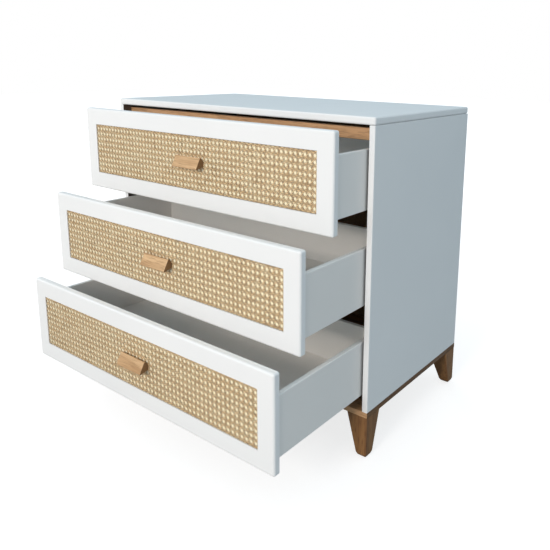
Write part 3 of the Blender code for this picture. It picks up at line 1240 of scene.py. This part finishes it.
@dataclass
class Drawer:
    """One drawer: front, pull, box boards, runner members and small fittings."""

    number: int
    palette: Palette
    pull_screw_x: float = 0.032
    rail_screws: tuple[float, ...] = (0.08, 0.5, 0.92)
    rail_screw_rise: float = 0.010
    rail_sheet: float = 0.0012
    catch_gap: float = 0.0015

    @property
    def body(self) -> str:
        """Name of the drawer's body."""
        return f"drawer{self.number}"

    def dress(self) -> None:
        """Gives the drawer's boards, pull and runners their finish."""
        name, palette = self.body, self.palette
        palette.dress(palette.lacquer, f"{name}_front")
        palette.dress(palette.pull, f"{name}_pull")
        palette.dress(palette.melamine, *(f"{name}_{side}_side" for side in SIDES))
        # The back gets the paler copy of the melamine, painted light inside the drawer.
        palette.dress(palette.painted_tone, f"{name}_back")
        palette.dress(palette.board, f"{name}_bottom")
        members = ("cabinet", "middle", "drawer")
        palette.dress(palette.steel, *(f"{name}_{side}_{part}_rail" for side in SIDES for part in members))

    def fasten_pull(self) -> None:
        """Sets the two pull screws on the inside of the front."""
        low, high = corners(f"{self.body}_front")
        face, z = high.y - SINK, (low.z + high.z) / 2
        places = [Vector((sign * self.pull_screw_x, face, z)) for sign in SIDES.values()]
        name = f"{self.body}_pull_screws"
        PanScrew().row(name, self.body, places, Axis.DEEP.way, self.palette.screw)

    def fasten_runners(self) -> None:
        """Sets screws on the flange of each cabinet rail."""
        screw = PanScrew(radius=0.0034, height=0.0015, arm=0.0038, slot=0.0010, deep=0.0008)
        for side, sign in SIDES.items():
            low, high = corners(f"{self.body}_{side}_cabinet_rail")
            x = high.x - self.rail_sheet if sign > 0 else low.x + self.rail_sheet
            z = low.z + self.rail_screw_rise
            places = [Vector((x, low.y + (high.y - low.y) * share, z)) for share in self.rail_screws]
            name = f"{self.body}_{side}_rail_screws"
            screw.row(name, "carcass", places, -sign * Axis.ACROSS.way, self.palette.screw)

    def add_catches(self) -> None:
        """Puts a catch beside each drawer rail, which holds the drawer on its runner."""
        catch = Catch()
        wide, deep, tall = catch.size
        floor_low, _ = corners(f"{self.body}_bottom")
        _, front_high = corners(f"{self.body}_front")
        y, z = front_high.y + deep / 2 + SEAT, floor_low.z - tall / 2 - SEAT
        for side, sign in SIDES.items():
            rail_low, rail_high = corners(f"{self.body}_{side}_drawer_rail")
            inner = rail_low.x if sign > 0 else rail_high.x
            middle = Vector((inner - sign * (wide / 2 + self.catch_gap), y, z))
            piece = catch.model(f"{self.body}_{side}_catch", sign, middle, self.palette.plastic)
            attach(piece, self.body)
            log.info("%s placed", piece.name)

    def build(self) -> None:
        """Dresses the drawer and adds its fittings."""
        self.dress()
        self.fasten_pull()
        self.fasten_runners()
        self.add_catches()


@dataclass
class Studio:
    """Floor, light and camera."""

    floor: float = 30.0
    floor_drop: float = 0.0005
    floor_tones: tuple[Colour, Colour] = ((0.34, 0.34, 0.34), (0.37, 0.37, 0.37))
    floor_rough: float = 0.85
    floor_grain: float = 60.0
    glow_reach: Span = (0.5, 3.5)
    glow: Span = (0.76, 1.0)
    white: Colour = (1.0, 1.0, 1.0)
    sky: Colour = (0.524, 0.637, 0.708)
    key_place: Place = (0.66, -3.43, 1.72)
    key_power: float = 71.0
    fill_place: Place = (-2.9, -0.95, 0.80)
    fill_power: float = 32.0
    back_place: Place = (-2.6, 2.7, 0.9)
    back_power: float = 28.0
    lamp_size: float = 0.9
    lamp_colour: Colour = (1.0, 0.90, 0.825)
    lamp_aim: Place = (0.0, 0.0, 0.45)
    sensor: float = 36.0
    lens: float = 39.905
    shift: Span = (-0.1091, -0.1545)
    camera_place: Place = (1.14593, -1.17600, 0.92874)
    camera_turn: Place = (78.2716, -0.9074, 36.1142)

    def lay_floor(self) -> None:
        """Lays the pale floor, which fades into the white background."""
        ground = Bench.start("floor", bpy.ops.mesh.primitive_plane_add, size=self.floor)
        ground.location = (0.0, 0.0, -self.floor_drop)
        Bench.settle(ground)
        material = bpy.data.materials.new("pale floor")
        material.use_nodes = True
        sheet = NodeSheet(material.node_tree)
        shader = material.node_tree.nodes["Principled BSDF"]
        shader.inputs["Roughness"].default_value = self.floor_rough
        shader.inputs["Emission Color"].default_value = (*self.white, 1.0)
        place = sheet.coords()
        grain = sheet.noise(place, self.floor_grain, detail=3.0)
        sheet.link(sheet.blend(grain, *self.floor_tones), shader.inputs["Base Color"])
        reach = sheet.add("ShaderNodeVectorMath", {0: place}, operation="LENGTH").outputs["Value"]
        seen = sheet.add("ShaderNodeLightPath").outputs["Is Camera Ray"]
        glow = sheet.math("MULTIPLY", sheet.remap(reach, self.glow_reach, self.glow), seen)
        sheet.link(glow, shader.inputs["Emission Strength"])
        ground.data.materials.append(material)

    def light(self) -> None:
        """Sets the sky, a soft light from the front, a fill from the left and a weak light from behind."""
        world = bpy.data.worlds.new("studio")
        bpy.context.scene.world = world
        world.use_nodes = True
        sheet = NodeSheet(world.node_tree)
        sky = world.node_tree.nodes["Background"]
        sky.inputs["Color"].default_value = (*self.sky, 1.0)
        white = sheet.add("ShaderNodeBackground", {"Color": (*self.white, 1.0)})
        seen = sheet.add("ShaderNodeLightPath").outputs["Is Camera Ray"]
        mixed = sheet.add("ShaderNodeMixShader", {0: seen, 1: sky.outputs[0], 2: white.outputs[0]})
        sheet.link(mixed.outputs[0], world.node_tree.nodes["World Output"].inputs["Surface"])
        lamps = (
            ("key", self.key_place, self.key_power),
            ("fill", self.fill_place, self.fill_power),
            ("back", self.back_place, self.back_power),
        )
        for name, place, power in lamps:
            lamp = bpy.data.lights.new(name, "AREA")
            lamp.size, lamp.energy, lamp.color = self.lamp_size, power, self.lamp_colour
            stand = bpy.data.objects.new(name, lamp)
            stand.location = place
            stand.visible_glossy = name == "key"
            way = Vector(self.lamp_aim) - stand.location
            stand.rotation_euler = way.to_track_quat("-Z", "Y").to_euler()
            bpy.context.scene.collection.objects.link(stand)
        bpy.context.scene.view_settings.view_transform = "Standard"

    def place_camera(self) -> None:
        """Stands the camera where the photograph was taken from."""
        data = bpy.data.cameras.new("camera")
        data.sensor_width, data.lens = self.sensor, self.lens
        data.shift_x, data.shift_y = self.shift
        camera = bpy.data.objects.new("camera", data)
        camera.location = self.camera_place
        camera.rotation_euler = Euler([math.radians(a) for a in self.camera_turn], "XYZ")
        bpy.context.scene.collection.objects.link(camera)
        bpy.context.scene.camera = camera

    def build(self) -> None:
        """Sets up the whole studio."""
        self.place_camera()
        self.lay_floor()
        self.light()


def main() -> None:
    """Builds the chest's pieces and the studio in order."""
    logging.basicConfig(level=logging.INFO, format="%(name)s: %(message)s")
    Studio().build()
    palette = Palette()
    Carcass(palette).build()
    CaneWebbing().build()
    for number in DRAWERS:
        Drawer(number, palette).build()
    Bench.clear()


if __name__ == "__main__":
    main()
